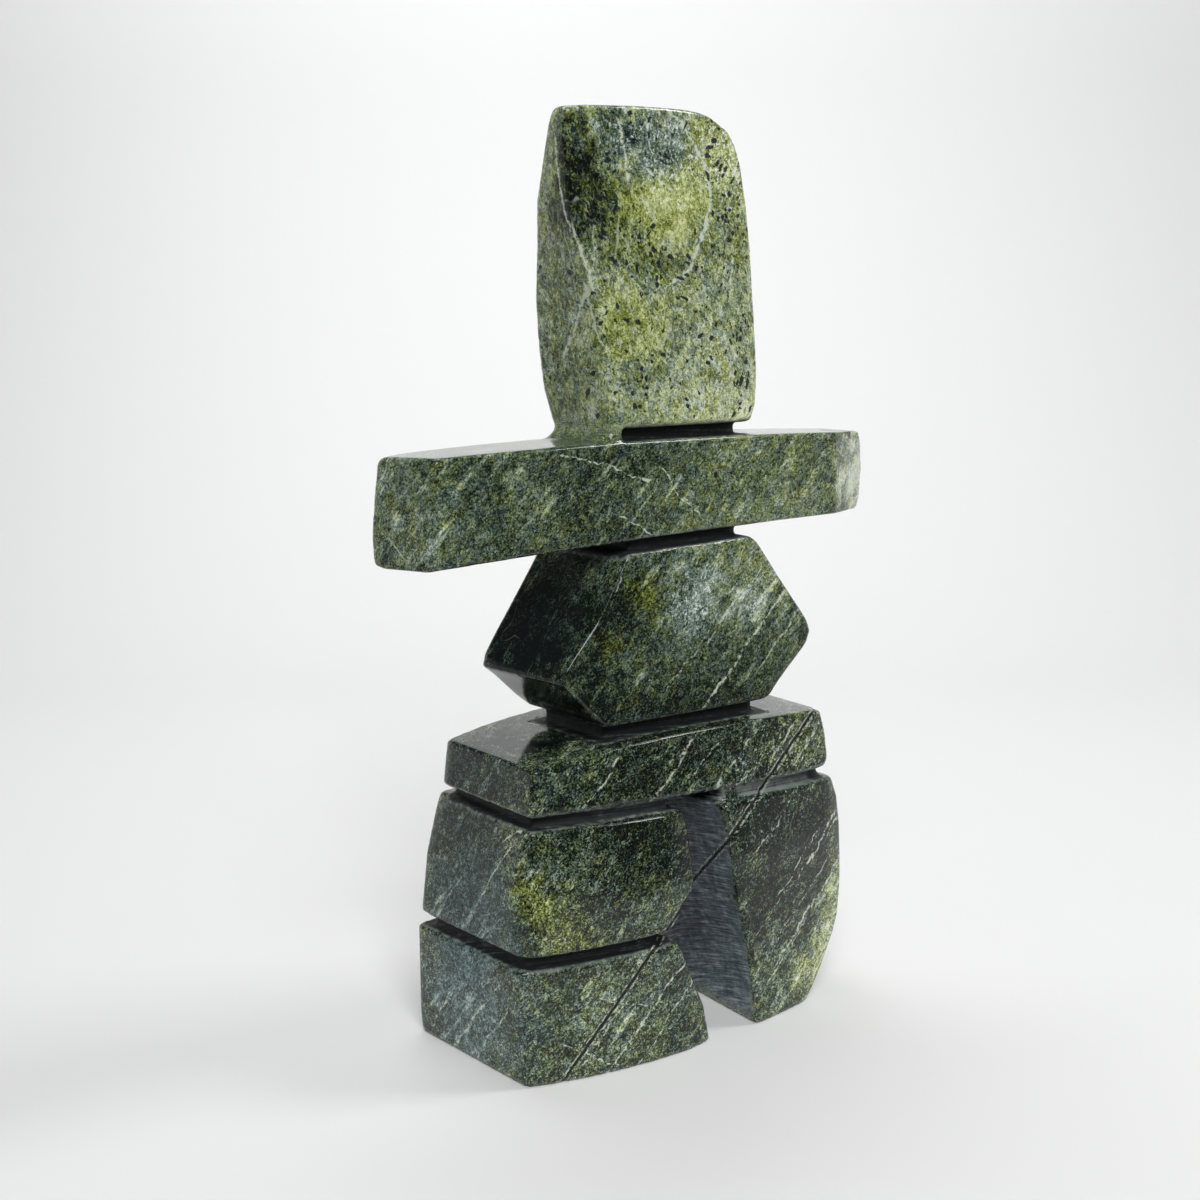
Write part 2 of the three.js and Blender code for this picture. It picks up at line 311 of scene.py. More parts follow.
@dataclass(frozen=True)
class Fracture:
    """The old crack that runs on one plane through hips and legs.

    Attributes:
        top: how high it shows.
        half_width: half of how wide its worn banks are.
        depth: how deep the skin dips in it at most.
        steady: the share of that depth that it has all along; the rest comes and goes.
        wander: how far its line strays.
        stride: how far apart the points of its line are at most.
        ripple: the length of its bends.
        margin: how far from the plane faces are cut, in half widths.
        snap: how near the plane a point of the skin is taken as on it.
    """

    through: Place = (9.97 * MM, -28.89 * MM, 58.45 * MM)
    normal: Place = (0.567, -0.603, -0.561)
    top: float = 106.0 * MM
    half_width: float = 1.3 * MM
    depth: float = 0.8 * MM
    steady: float = 0.6
    wander: float = 0.35 * MM
    stride: float = 1.2 * MM
    cuts: int = 3
    ripple: float = 3.0 * MM
    margin: float = 1.5
    snap: float = 1e-7

    def open(self, mesh: bpy.types.Mesh) -> None:
        """Cuts three lines into the skin along the plane, marks the middle one and sinks it.

        Args:
            mesh: the skin.
        """
        shape = bmesh.new()
        shape.from_mesh(mesh)
        for step in (-self.half_width, self.half_width, 0.0):
            near = [f for f in shape.faces if self.touches(f)]
            edges = {e for f in near for e in f.edges}
            verts = {v for f in near for v in f.verts}
            bmesh.ops.bisect_plane(shape, geom=[*verts, *edges, *near], dist=self.snap,
                                   plane_co=self.point + self.across * step, plane_no=self.across)
        line = [e for e in shape.edges if all(self.share(v) > 0.999 for v in e.verts)]
        long = [e for e in line if e.calc_length() > self.stride]
        bmesh.ops.subdivide_edges(shape, edges=long, cuts=self.cuts)
        bmesh.ops.triangulate(shape, faces=[f for f in shape.faces if len(f.verts) > 3])
        shape.normal_update()
        marks = shape.verts.layers.float.new(Mark.CRACK.value)
        for v in shape.verts:
            share = self.share(v)
            v[marks] = share
            if share:
                bend = noise.noise_vector(v.co / self.ripple)
                sink = self.depth * (self.steady + (1.0 - self.steady) * bend.y)
                v.co += (self.across * bend.x * self.wander - v.normal * sink) * share
        shape.to_mesh(mesh)
        shape.free()

    @property
    def point(self) -> Vector:
        """A point of the plane."""
        return Vector(self.through)

    @property
    def across(self) -> Vector:
        """The plane's direction."""
        return Vector(self.normal).normalized()

    def share(self, vert: bmesh.types.BMVert) -> float:
        """How near a vertex lies to the middle of the crack: 1 on it and 0 past its banks.

        Args:
            vert: the vertex.

        Returns:
            Its share.
        """
        if vert.co.z > self.top:
            return 0.0
        return max(0.0, 1.0 - abs((vert.co - self.point).dot(self.across)) / self.half_width)

    def touches(self, face: bmesh.types.BMFace) -> bool:
        """Whether any of a face lies in the banks of the crack.

        Args:
            face: the face.

        Returns:
            True where it does.
        """
        sides = [(v.co - self.point).dot(self.across) for v in face.verts]
        reach = self.margin * self.half_width
        return face.calc_center_median().z < self.top and min(sides) < reach and max(sides) > -reach


BEDDING: Place = Fracture.normal
HEAD_GRAIN: Place = (0.33, 0.0, -0.94)


@dataclass(frozen=True)
class Patch:
    """A cloudy spot, and how much it brings to the colour there: mostly the stone's own, but some
    spots are painted shade and painted reflection on whole faces.

    Whiter is pale speckle, blacker black crystals, duller less polish, and the turn to blue is a
    painted veil: the painted shade and reflected sheen on faces that turn to the left.
    """

    centre_mm: Place
    radius_mm: float
    lighter: float = 0.0
    yellower: float = 0.0
    whiter: float = 0.0
    blacker: float = 0.0
    duller: float = 0.0
    cooler: float = 0.0


@dataclass(frozen=True)
class Vein:
    """A thin pale sheet in the stone, seen as a line where the skin cuts it; one listed vein is a
    painted highlight along an edge instead.

    Attributes:
        through_mm: a point of the sheet, also the middle of its reach.
        reach_mm: how far from that point it goes.
        width_mm: how thick it is.
        strength: how white it is.
        normal: the sheet's direction.
        curl_mm: the radius that the sheet is bent to, away from its normal, or 0 for a flat one.
    """

    through_mm: Place
    reach_mm: float
    width_mm: float
    strength: float
    normal: Place = BEDDING
    curl_mm: float = 0.0


@dataclass(frozen=True)
class Serpentine:
    """The polished stone: its colours, its markings and how it shines, with painted shade in its
    cuts and painted light and shade from some patches and one vein.

    A Pair is the body's value and then the head's. Levels are where a marking begins and where it
    is full, then what it gives at each. A stray is the size of a wander, how many finer bends it
    has, and how far it goes.
    """

    name: str = "green_serpentine"
    head_foot_mm: Levels = (198, 206)
    leg_contrast: Levels = (105, 109, 1.3, 1)
    swirl_mm: float = 24.0
    swirl_detail: float = 1.5
    swirl_reach_mm: Pair = (9, 20)

    dust: Layer = Layer(0.5, 2, 0.6, (0.32, 0.68, -0.5, 0.5))
    mottle: Layer = Layer(5.5, 5, 0.72, (0.38, 0.62, -0.5, 0.5))
    cloud: Layer = Layer(26, 3, 0.55, (0.36, 0.64, -0.5, 0.5))
    small_flake_mm: float = 0.68
    large_flake_mm: float = 2.2
    flake_stray: Levels = (1.1, 2, 2.2)
    body_squeeze: Place = (1, 1, 1.5)
    head_squeeze: Place = (1, 1, 0.65)
    small_weight: float = 0.35
    large_weight: float = 0.15
    dust_weight: float = 0.24
    mottle_weight: Pair = (0.1, 0.15)
    cloud_weight: Pair = (0.08, 0.06)
    middle_grain: float = -0.25
    tone: Pair = (0.235, 0.54)
    # How much the painted veil calms the grain, and the blue-grey cast it lays on the left faces,
    # as painted shade and reflection.
    painted_veil_calm: float = 0.35
    painted_veil_cast: tuple[float, float, float, float] = (0.92, 1, 1.2, 1)

    hue: Layer = Layer(4.5, 5, 0.8, (0.4, 0.6, -0.34, 0.18))
    small_hue: float = 0.4
    large_hue: float = 0.35
    body_hue: Pair = (0, 0.26)

    sliver: Layer = Layer(1.1, 2, 0.6, (0.58, 0.66))
    sliver_ways: tuple[tuple[Place, Place], ...] = (
        (BEDDING, (1, 0.35, 1)), ((0.3, -0.2, 0.93), (0.4, 1, 1)))
    sliver_share: float = 0.18
    sliver_weight: float = 0.35
    streak: Layer = Layer(2.6, 3, 0.6, (0.53, 0.66))
    streaked: Layer = Layer(18, 2, 0.55, (0.44, 0.58))
    streak_squeeze: Place = (0.13, 0.13, 1)
    streak_share: Pair = (1, 0.15)
    streak_weight: float = 0.26

    broken: Layer = Layer(2, 4, 0.75, (0.36, 0.62, -0.4, 0.3))
    vein_strays: tuple[Levels, ...] = ((14, 3, 5.5), (2.2, 1, 1.32))
    vein_full: float = 0.6
    vein_levels: Levels = (0.3, 1)
    vein_fade: Levels = (0.04, 0.5)
    vein_strength: float = 0.88
    web: Layer = Layer(17, 2, 0.4, (0.008, 0.001))
    webbed: Layer = Layer(12, 2, 0.55, (0.48, 0.6))
    web_squeeze: Place = (1, 1, 0.5)
    web_strength: Pair = (0.1, 0.4)

    crystal_mm: float = 2.2
    crystal_stray: Levels = (1.6, 2, 1.8)
    head_crystals: float = 0.14
    crystal_share: float = 0.8
    crystal_radii: Levels = (0, 1, 0.15, 0.5)
    crystal_edge: Levels = (0, 0.08)
    crystal_strength: float = 0.94

    crack_edge: Layer = Layer(2.2, 3, 0.7, (0.36, 0.64, 0.8, 0.45))
    crack_levels: Levels = (0, 0.1)
    crumb_reach: Levels = (0.05, 0.35)
    crumb_levels: Levels = (0.47, 0.58, 0, 0.7)

    blade_middle_mm: Place = (0, -51, -110)
    saw_arc: Layer = Layer(0.7, 4, 0.8)
    saw_grit: Layer = Layer(4, 5, 0.75)
    arc_waver: float = 0.05
    arc_weight: float = 0.65
    grit_weight: float = 0.35
    slot_dust: float = 0.2

    polish: float = 0.07
    smear: Layer = Layer(5, 4, 0.7)
    smear_weight: float = 0.07
    sawn_roughness: float = 0.6
    chipped_roughness: float = 0.5
    bending: float = 1.55
    shine: float = 0.35

    skin_grain: Layer = Layer(0.8, 2, 0.55)
    grain_relief: float = 0.008
    ripple_middle_mm: Place = (-37, -18, 279)
    ripple_reach_mm: Levels = (17, 9)
    ripple_mm: float = 1.7
    ripple_relief: float = 0.012
    scrape_relief: float = 0.5
    relief: float = 0.8

    greens: Stops = (
        (0, (0.002, 0.004, 0.004)),
        (0.12, (0.007, 0.014, 0.01)),
        (0.25, (0.033, 0.056, 0.043)),
        (0.4, (0.099, 0.145, 0.12)),
        (0.55, (0.215, 0.287, 0.242)),
        (0.75, (0.5, 0.58, 0.5)),
        (1, (0.8, 0.87, 0.8)),
    )
    yellows: Stops = (
        (0, (0.003, 0.005, 0.002)),
        (0.12, (0.01, 0.015, 0.004)),
        (0.25, (0.048, 0.063, 0.012)),
        (0.4, (0.142, 0.172, 0.032)),
        (0.55, (0.285, 0.338, 0.08)),
        (0.75, (0.58, 0.64, 0.28)),
        (1, (0.87, 0.9, 0.62)),
    )
    # Sawn stone in the cuts, darkened near to black as painted shade where light hardly reaches;
    # the palest stop is saw dust.
    sawn_tones_and_painted_shade: Stops = (
        (0.42, (0.004, 0.006, 0.006)), (0.56, (0.014, 0.019, 0.02)), (0.72, (0.2, 0.235, 0.225)))
    ground_tones: Stops = (
        (0.38, (0.024, 0.034, 0.042)), (0.5, (0.1, 0.13, 0.15)), (0.62, (0.4, 0.46, 0.49)))
    vein_colour: Colour = (0.66, 0.74, 0.6)
    crystal_colour: Colour = (0.01, 0.016, 0.022)
    crack_colour: Colour = (0.003, 0.004, 0.004)
    lip_colour: Colour = (0.2, 0.235, 0.21)

    bend_share: float = 1 / 3
    fringe_mm: float = 6.0
    fringe_layers: Levels = (0.6, 2, 4)
    fringe_weight: float = 0.35
    patch_end: float = 1.2
    patch_edge: float = 0.8
    patches: tuple[Patch, ...] = tuple(Patch(*row) for row in (
        ((0, -17, 273), 15, 0.17, 0.7, 0, -1.2), ((-13, -17, 262), 13, -0.08, 0.2, 0, 0.8),
        ((4, -18, 255), 15, -0.07, 0.1, 0.1, 0.8), ((-22, -17, 277), 12, -0.24, 0.1, 0, 0.4),
        ((-31, -15, 286), 10, -0.32), ((-29, -16, 268), 9, -0.28),
        ((-17, -17, 294), 9, -0.16, -0.4, 0.5), ((-1, -17, 291), 14, -0.15, -0.5, 0.9, 0.4),
        ((26, -16, 287), 17, 0.08, 0.7, 1.6, 0.9), ((29, -17, 262), 12, -0.05, 0.2, 0.3, 0.6),
        ((18, -18, 222), 30, 0.03, -0.1, 0.12, 0.3), ((-10, -19, 221), 5, -0.05, 0, 0, 1.5),
        ((31, -18, 232), 6, -0.05, 0, 0, 1.2), ((30, -19, 219), 7, -0.05, 0, 0, 1.1),
        ((-12, -18, 234), 14, 0.02, 0.5, 0, 0.45), ((-30, -2, 235), 38, -0.04, -0.1),
        ((40, -20, 183), 50, 0.17, 0.15), ((-66, -20, 186), 45, 0.05),
        # Painted reflection: the two patches on this line lighten the arms' right and left ends,
        # where the faces mirror the pale room.
        ((93, -10, 183), 21, 0.56, -0.1, 0.25, 0, 0.35), ((-92, 0, 184), 26, 0.1),
        ((18, -21, 136), 38, 0.08), ((-10, -21, 153), 9, 0.02, 0.8), ((-27, -21, 136), 8, 0, 0.6),
        ((10, -22, 150), 12, 0.1, -0.5, 1), ((32, -21, 145), 10, 0.08, -0.2, 0.7),
        # Painted shade: the second patch on this line and the first on the next darken and cool the
        # torso's upper-left and lower-left facets, which turn away from the light.
        ((-22, -18, 146), 13, -0.14, -0.1), ((-38, 4, 142), 26, -0.21, -0.3, 0, 0, 0, 0.7),
        ((-36, 0, 114), 20, -0.24, -0.3, 0, 0, 0, 0.7), ((0, -28, 94), 50, -0.14, 0, 0.1),
        ((46, -27, 95), 14, 0.06, 0.4, 0.3), ((-57, -25, 59), 10, 0.08, 0.7, 0.5),
        ((-46, -29, 50), 10, 0.06, 0.6, 0.4), ((-20, -32, 60), 34, -0.01, 0, 0.1),
        # Painted veil: this patch, the one on the next line and the first on the line after give
        # the left faces of the hips, thigh and foot a paler blue-grey cast with calmer grain,
        # painted for their sheen and shade.
        ((-64, 10, 95), 26, -0.09, -0.3, 0, 0, 0, 0.4),
        ((-64, 4, 52), 28, 0.02, -0.5, 0.1, 0, 0.2, 0.7),
        ((-60, 4, 16), 28, 0.1, -0.5, 0.2, 0, 0.22, 0.7), ((45, -28, 55), 34, -0.17),
        ((60, -27, 13), 16, 0.23, 0.35, 0.3), ((70, -24, 29), 15, 0.28, 0.3, 0.3),
        ((77, -20, 46), 12, 0.2, 0.3, 0.3), ((-30, -32, 10), 26, 0.06, 0.05, 0.25),
        ((38, -28, 82), 26, 0, 0, 0.8),
    ))
    veins: tuple[Vein, ...] = tuple(Vein(*row) for row in (
        ((32, -21, 129), 36, 1.1, 0.78), ((47, -21, 130), 20, 0.6, 0.65),
        # The second vein on this line is a painted highlight: the pale line down the upper
        # front-left edge of the torso.
        ((27, -21, 144), 24, 0.6, 0.76), ((-21, -21, 153), 7, 0.5, 0.6, (-0.87, 0, 0.5)),
        ((-4, -28, 93), 18, 1.2, 0.69), ((22, -28, 94), 18, 1, 0.62),
        ((-31, -27, 94), 15, 0.9, 0.62), ((56, -26, 94), 16, 0.7, 0.76),
        ((60, -26, 36), 38, 1, 0.69), ((50, -28, 36), 32, 0.6, 0.55),
        ((40, -29, 40), 26, 0.4, 0.48), ((-22, -33, 12), 34, 0.8, 0.83),
        ((-10, -33, 12), 26, 0.5, 0.62), ((-57, 7, 14), 24, 0.7, 0.83),
        ((-57, -6, 14), 22, 0.6, 0.76), ((-53, -19, 79), 12, 0.6, 1, (0.45, 0.63, 0.63)),
        ((-60, -11, 67), 18, 0.5, 0.9, (0.1, 0.82, 0.57)),
        ((5, -20, 183), 18, 0.5, 0.76, (0.7, 0, 0.71)), ((64, -27, 60), 24, 0.8, 0.75),
        ((76, -20, 62), 16, 0.6, 0.7), ((50, -28, 52), 20, 0.5, 0.6), ((34, -28, 62), 14, 0.5, 0.6),
        ((44, -28, 20), 20, 0.5, 0.7), ((66, -27, 18), 22, 0.7, 0.8),
        ((-36, -32, 12), 20, 0.6, 0.75), ((-40, -31, 8), 16, 0.5, 0.7, (0.5, 0.1, 0.86)),
        ((-24, -32, 22), 14, 0.5, 0.65, (0.3, 0.1, 0.95)), ((-60, 20, 14), 16, 0.6, 0.7),
        ((8, -21, 128), 18, 0.6, 0.6), ((44, -28, 97), 12, 0.8, 0.8),
        ((10, -28, 96), 12, 0.6, 0.65), ((-89, 0, 193), 8, 0.6, 0.9, (-0.09, 0.91, 0.4)),
        ((-91, 0, 181), 9, 0.5, 0.8, (-0.32, 0.94, 0.14)),
        ((-90, -7, 172), 8, 0.5, 0.75, (-0.28, 0.59, -0.76)),
        ((-32, -21, 195), 14, 0.6, 0.75, (-0.19, 0, -0.98)),
        ((-14, -21, 190), 14, 0.7, 0.85, (-0.34, 0, -0.94)),
        ((-14, -21, 174), 12, 0.5, 0.75, (-0.43, 0.17, -0.88)),
        ((7, -21, 180), 9, 0.6, 0.85, (-0.65, 0, -0.76)),
        ((18.3, -17, 274), 42, 1.6, 1, (1, 0, 0), 30),
        ((-14, -17, 287), 12, 1.2, 1, (-0.97, 0, -0.22)),
        ((-2, -17, 280), 13, 0.8, 0.85, (-0.61, 0, -0.8)),
        ((-34, -12, 278), 20, 1.1, 1, (0, 0.99, -0.11)),
        ((-29, -16, 255), 14, 1, 1, (-0.3, 0.93, -0.2)),
        ((-25, -17, 238), 14, 0.9, 0.95, (-0.73, 0.62, -0.29)),
        ((-27, -9, 236), 17, 1, 1, (-0.42, 0.75, 0.51)),
        ((27, -18, 250), 8, 1.4, 0.95, (-0.99, 0, 0.15)),
        ((-5, -18, 240), 8, 0.6, 0.7, (-0.79, 0, -0.61)),
    ))

    def build(self) -> bpy.types.Material:
        """Makes the material.

        Returns:
            The finished material.
        """
        material = bpy.data.materials.new(self.name)
        material.use_nodes = True
        material.node_tree.nodes.clear()
        StoneSheet(material.node_tree, self).write()
        return material

    def spread(self, mesh: bpy.types.Mesh) -> None:
        """Adds up what the patches bring to every point of the skin, and stores it there.

        Args:
            mesh: the finished skin.
        """
        places = rows(mesh.vertices, "co") / MM
        bends = np.array([noise.noise_vector(Vector(p) / self.swirl_mm) for p in places])
        fringe = np.array([noise.fractal(Vector(p) / self.fringe_mm, *self.fringe_layers)
                           for p in places])
        places = places + bends * self.swirl_mm * self.bend_share
        for mark in CLOUDS:
            total = np.zeros(len(places))
            for patch in self.patches:
                away = np.linalg.norm(places - patch.centre_mm, axis=1) / patch.radius_mm
                share = (self.patch_end - away + self.fringe_weight * fringe) / self.patch_edge
                share = np.clip(share, 0.0, 1.0)
                total += getattr(patch, mark.value) * share ** 2 * (3 - 2 * share)
            stored = mesh.attributes.new(mark.value, "FLOAT", "POINT")
            stored.data.foreach_set("value", total.astype(np.float32))


class StoneSheet(NodeSheet):
    """Writes the stone's material, all of it read from the place in the stone."""

    def __init__(self, tree: bpy.types.NodeTree, stone: Serpentine) -> None:
        """Finds the place, plain and swirled, how far up it is, and what the patches bring.

        Args:
            tree: the material's tree.
            stone: its colours and sizes.
        """
        super().__init__(tree)
        self.stone = stone
        self.point = self.scaled(self.add("ShaderNodeTexCoord", output="Object"), 1.0 / MM)
        self.height = self.part(self.point, "Z")
        self.on_head = self.band(self.height, *stone.head_foot_mm)
        self.loose = self.strayed(self.point, stone.swirl_mm, stone.swirl_detail,
                                  self.here(stone.swirl_reach_mm))
        self.spots = {mark: self.mark(mark) for mark in CLOUDS}

    def here(self, values: Pair) -> Socket:
        """The body's value or the head's."""
        body, head = values
        return self.add("ShaderNodeMix", {0: self.on_head, 2: body, 3: head}, 0, data_type="FLOAT")

    def write(self) -> None:
        """Writes the whole stone: its body, its veins and crystals, its cuts darkened with painted
        shade, and its shine.
        """
        stone = self.stone
        colour = self.mix(self.vein_lines(), self.body_colour(), stone.vein_colour)
        colour = self.mix(self.crystals(), colour, stone.crystal_colour)

        sawn, ground, lip = (self.mark(m) for m in (Mark.SAWN, Mark.GROUND, Mark.LIP))
        scrape = self.saw_lines()
        dusty = self.plus(scrape, self.spots[Mark.WHITER], stone.slot_dust)
        # The cuts get painted shade: their sawn stone is darkened near to black, with paler dust.
        colour = self.mix(sawn, colour, self.strip(dusty, stone.sawn_tones_and_painted_shade))
        colour = self.mix(ground, colour, self.strip(scrape, stone.ground_tones))
        colour = self.mix(lip, colour, stone.lip_colour)
        crack, crumbs = self.crack()
        colour = self.mix(crumbs, colour, stone.vein_colour)
        colour = self.mix(crack, colour, stone.crack_colour)

        raw = self.largest(sawn, ground)
        rough = self.plus(stone.polish, self.cloud(self.point, stone.smear), stone.smear_weight)
        rough = self.maths("ADD", rough, self.spots[Mark.DULLER])
        rough = self.largest(rough, self.product(raw, stone.sawn_roughness),
                             self.product(self.largest(crack, lip), stone.chipped_roughness))
        shader = self.add("ShaderNodeBsdfPrincipled", {
            "Base Color": colour, "Roughness": rough, "IOR": stone.bending,
            "Specular IOR Level": stone.shine, "Normal": self.bumps(scrape, raw)}, "BSDF")
        out = self.tree.nodes.new("ShaderNodeOutputMaterial")
        self.tree.links.new(shader, out.inputs["Surface"])

    def body_colour(self) -> Socket:
        """The stone's green, from its clouds, mottles and flakes, with the patches' painted shade
        and painted blue-grey veil on some faces.

        Returns:
            The colour.
        """
        stone, spots = self.stone, self.spots
        small, large = self.flakes()
        grain: Value = stone.middle_grain
        for part, weight in (
                (self.part(small, "X"), stone.small_weight),
                (self.part(large, "X"), stone.large_weight),
                (self.layer(self.point, stone.dust), stone.dust_weight),
                (self.layer(self.loose, stone.mottle), self.here(stone.mottle_weight)),
                (self.layer(self.loose, stone.cloud), self.here(stone.cloud_weight))):
            grain = self.plus(grain, part, weight)
        # On the left faces the painted veil calms the grain, as painted reflection and shade.
        calm = self.product(spots[Mark.COOLER], stone.painted_veil_calm)
        contrast = self.maths("SUBTRACT", self.band(self.height, *stone.leg_contrast), calm)
        tone = self.maths("ADD", self.here(stone.tone), spots[Mark.LIGHTER])
        tone = self.plus(tone, grain, contrast)
        salt = self.product(self.slivers(),
                            self.maths("ADD", spots[Mark.WHITER], stone.sliver_share))
        tone = self.plus(tone, salt, stone.sliver_weight)
        tone = self.plus(tone, self.streaks(), stone.streak_weight)

        hue = self.layer(self.loose, stone.hue)
        hue = self.plus(hue, self.part(large, "Y"), stone.large_hue)
        hue = self.plus(hue, self.part(small, "Y"), stone.small_hue)
        hue = self.chain("ADD", hue, self.here(stone.body_hue), spots[Mark.YELLOWER])
        hue = self.maths("SUBTRACT", hue, self.product(spots[Mark.WHITER], salt))
        hue = self.add("ShaderNodeClamp", {0: hue})
        colour = self.mix(hue, self.strip(tone, stone.greens), self.strip(tone, stone.yellows))
        # Blue-grey cast painted on the left-turned faces, standing for their shade and reflected
        # veil.
        return self.add("ShaderNodeMix", {0: spots[Mark.COOLER], 6: colour, 7: stone.painted_veil_cast}, 2,
                        data_type="RGBA", blend_type="MULTIPLY")

    def pressed(self, axis: Place, squeeze: Place) -> Socket:
        """The place with Z turned to an axis, pressed flat or drawn out along it.

        Args:
            axis: where Z is turned to.
            squeeze: what each direction is multiplied by.

        Returns:
            The new place.
        """
        turn = Vector(axis).to_track_quat("Z", "Y").inverted().to_euler()
        turned = self.add("ShaderNodeVectorRotate", {"Vector": self.point, "Rotation": turn},
                          rotation_type="EULER_XYZ")
        return self.vector("MULTIPLY", turned, squeeze)

    def flakes(self) -> tuple[Socket, Socket]:
        """The stone's flakes: flat in the body's bedding, upright in the head.

        Returns:
            A random colour for each small flake, and one for each large flake.
        """
        stone = self.stone
        lower = self.pressed(BEDDING, stone.body_squeeze)
        upper = self.pressed(HEAD_GRAIN, stone.head_squeeze)
        place = self.add("ShaderNodeMix", {0: self.on_head, 4: lower, 5: upper}, 1,
                         data_type="VECTOR")
        ragged = self.strayed(place, *stone.flake_stray)
        return self.grains(ragged, stone.small_flake_mm), self.grains(ragged, stone.large_flake_mm)

    def slivers(self) -> Socket:
        """Small pale slivers that lie two ways."""
        sliver = self.stone.sliver
        ways = [self.cloud(self.pressed(*way), sliver) for way in self.stone.sliver_ways]
        return self.band(self.largest(*ways), *sliver.levels)

    def streaks(self) -> Socket:
        """Thin pale layers along the bedding, here and there in the body."""
        line = self.layer(self.pressed(BEDDING, self.stone.streak_squeeze), self.stone.streak)
        some = self.layer(self.point, self.stone.streaked)
        return self.product(line, some, self.here(self.stone.streak_share))

    def vein_lines(self) -> Socket:
        """All the pale lines: the named veins, one of them a painted edge highlight, and a faint
        web in the head.

        Returns:
            How much of a vein the place is.
        """
        stone = self.stone
        sways = [self.drift(self.point, *stray) for stray in stone.vein_strays]
        bent = self.vector("ADD", self.point, self.vector("ADD", *sways))
        total: Value = 0.0
        for vein in stone.veins:
            normal = Vector(vein.normal).normalized()
            through = Vector(vein.through_mm)
            if vein.curl_mm:
                middle = through - normal * vein.curl_mm
                offset = self.maths("SUBTRACT", self.distance(bent, tuple(middle)), vein.curl_mm)
            else:
                offset = self.maths("SUBTRACT", self.dot(bent, tuple(normal)), through.dot(normal))
            near = self.band(self.distance(self.point, vein.through_mm), vein.reach_mm,
                             vein.reach_mm * stone.vein_full, 0.0, vein.strength)
            aside = self.product(offset, 2.0 / vein.width_mm)
            total = self.largest(self.maths("DIVIDE", near, self.plus(1.0, aside, aside)), total)
        ragged = self.maths("ADD", total, self.layer(self.point, stone.broken))
        named = self.product(self.band(ragged, *stone.vein_levels),
                             self.band(total, *stone.vein_fade))
        web = self.cloud(self.vector("MULTIPLY", self.point, stone.web_squeeze), stone.web)
        web = self.maths("ABSOLUTE", self.maths("SUBTRACT", web, 0.5))
        faint = self.product(self.band(web, *stone.web.levels),
                             self.layer(self.point, stone.webbed), self.here(stone.web_strength))
        return self.product(self.largest(named, faint), stone.vein_strength)

    def crystals(self) -> Socket:
        """Small near-black crystals, mostly in the head.

        Returns:
            How much of a crystal the place is.
        """
        stone = self.stone
        colour = self.grains(self.strayed(self.loose, *stone.crystal_stray), stone.crystal_mm)
        amount = self.plus(self.spots[Mark.BLACKER], self.on_head, stone.head_crystals)
        chosen = self.maths("LESS_THAN", self.part(colour, "Z"),
                            self.product(amount, stone.crystal_share))
        radius = self.band(self.part(colour, "X"), *stone.crystal_radii)
        inside = self.maths("SUBTRACT", radius, colour.node.outputs["Distance"])
        return self.product(self.band(inside, *stone.crystal_edge), chosen, stone.crystal_strength)

    def crack(self) -> tuple[Socket, Socket]:
        """The dark line down the middle of the open fracture, and the pale crumbs on its banks.

        Returns:
            How dark the place is, and how much of a crumb.
        """
        stone = self.stone
        mark = self.mark(Mark.CRACK)
        ragged = self.cloud(self.point, stone.crack_edge)
        edge = self.maths("SUBTRACT", mark, self.band(ragged, *stone.crack_edge.levels))
        crumbs = self.product(self.band(mark, *stone.crumb_reach),
                              self.band(ragged, *stone.crumb_levels))
        return self.band(edge, *stone.crack_levels), crumbs

    def saw_lines(self) -> Socket:
        """The arcs that the blade left on stone that was never polished.

        Returns:
            How scraped the place is, about a half.
        """
        stone = self.stone
        flat = self.vector("MULTIPLY", self.point, (0.0, 1.0, 1.0))
        away = self.add("ShaderNodeCombineXYZ", {"X": self.distance(flat, stone.blade_middle_mm)})
        arcs = self.vector("ADD", away, self.scaled(self.point, stone.arc_waver))
        lines = self.product(self.cloud(arcs, stone.saw_arc), stone.arc_weight)
        return self.plus(lines, self.cloud(self.point, stone.saw_grit), stone.grit_weight)

    def bumps(self, scrape: Socket, raw: Socket) -> Socket:
        """Fine relief: a little grain under the polish, the blade's arcs, and ripples on the head.

        Args:
            scrape: how scraped the place is.
            raw: 1 where the stone was never polished.

        Returns:
            The bumped normal.
        """
        stone = self.stone
        grain = self.product(self.cloud(self.point, stone.skin_grain), stone.grain_relief)
        near = self.band(self.distance(self.point, stone.ripple_middle_mm), *stone.ripple_reach_mm)
        ripples = self.maths("SINE", self.product(self.height, math.tau / stone.ripple_mm))
        height = self.plus(grain, self.product(ripples, near), stone.ripple_relief)
        height = self.plus(height, self.product(scrape, raw), stone.scrape_relief)
        return self.add("ShaderNodeBump", {
            "Height": height, "Distance": MM, "Strength": stone.relief}, "Normal")


